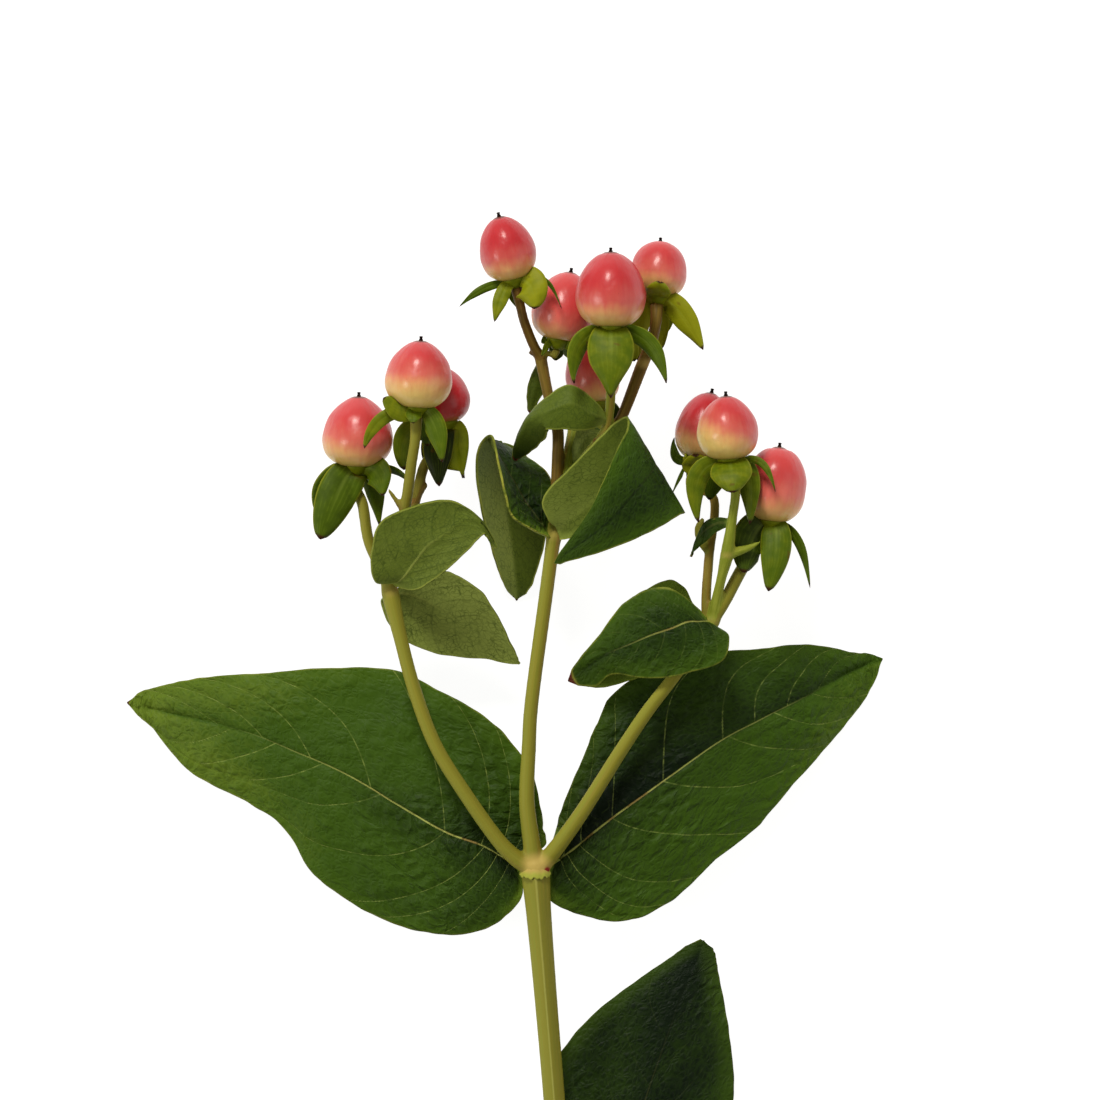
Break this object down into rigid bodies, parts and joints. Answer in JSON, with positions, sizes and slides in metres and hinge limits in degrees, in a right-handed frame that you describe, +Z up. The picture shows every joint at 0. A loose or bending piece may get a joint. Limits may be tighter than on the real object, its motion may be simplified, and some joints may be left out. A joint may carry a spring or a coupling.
{
  "type": "hypericum berry stem",
  "caption": "Cut hypericum stem lying flat, with opposite leaves and three branching clusters of glossy pink-red berries on leafy calyces.",
  "frame": {"origin": "on the table, under the middle of the whole stem as it lies", "axes": "+Y along the stem from the cut end towards the berries; +X to the right of it seen from above; +Z up"},
  "size_m": [0.1194, 0.199, 0.0327],
  "materials": {
    "stem_skin": "olive green skin, satin, with two raised lines",
    "leaf_dark": "dark green leaf, satin, paler and duller beneath",
    "leaf_young": "greyish green leaf underside, satin",
    "berry_skin": "waxy gloss, crimson at the tip to cream green at the base",
    "sepal": "green with parallel pale veins, satin",
    "dry_style": "dry black-brown, matte"
  },
  "bodies": {
    "root": {"stem": "stem_skin", "leaf_main_left": "leaf_dark", "leaf_main_right": "leaf_dark", "leaf_lower_left": "leaf_dark", "leaf_lower_right": "leaf_dark", "leaf_center_left": "leaf_dark", "leaf_center_right": "leaf_dark", "leaf_top_rolled": "leaf_dark", "leaf_top_hanging": "leaf_dark", "leaf_right_front": "leaf_dark", "leaf_right_back": "leaf_dark", "leaf_right_small": "leaf_dark", "leaf_left_front": "leaf_young", "leaf_left_back": "leaf_young", "leaf_top_small": "leaf_young", "berry_left_low": "berry_skin", "berry_left_front": "berry_skin", "berry_left_back": "berry_skin", "berry_center_left": "berry_skin", "berry_center_back": "berry_skin", "berry_center_front": "berry_skin", "berry_center_right": "berry_skin", "berry_center_low": "berry_skin", "berry_right_back": "berry_skin", "berry_right_front": "berry_skin", "berry_right_low": "berry_skin", "calyx_left_low": "sepal", "calyx_left_front": "sepal", "calyx_left_back": "sepal", "calyx_center_left": "sepal", "calyx_center_back": "sepal", "calyx_center_front": "sepal", "calyx_center_right": "sepal", "calyx_center_low": "sepal", "calyx_right_back": "sepal", "calyx_right_front": "sepal", "calyx_right_low": "sepal", "style_left_low": "dry_style", "style_left_front": "dry_style", "style_left_back": "dry_style", "style_center_left": "dry_style", "style_center_back": "dry_style", "style_center_front": "dry_style", "style_center_right": "dry_style", "style_center_low": "dry_style", "style_right_back": "dry_style", "style_right_front": "dry_style", "style_right_low": "dry_style"}
  },
  "joints": []
}
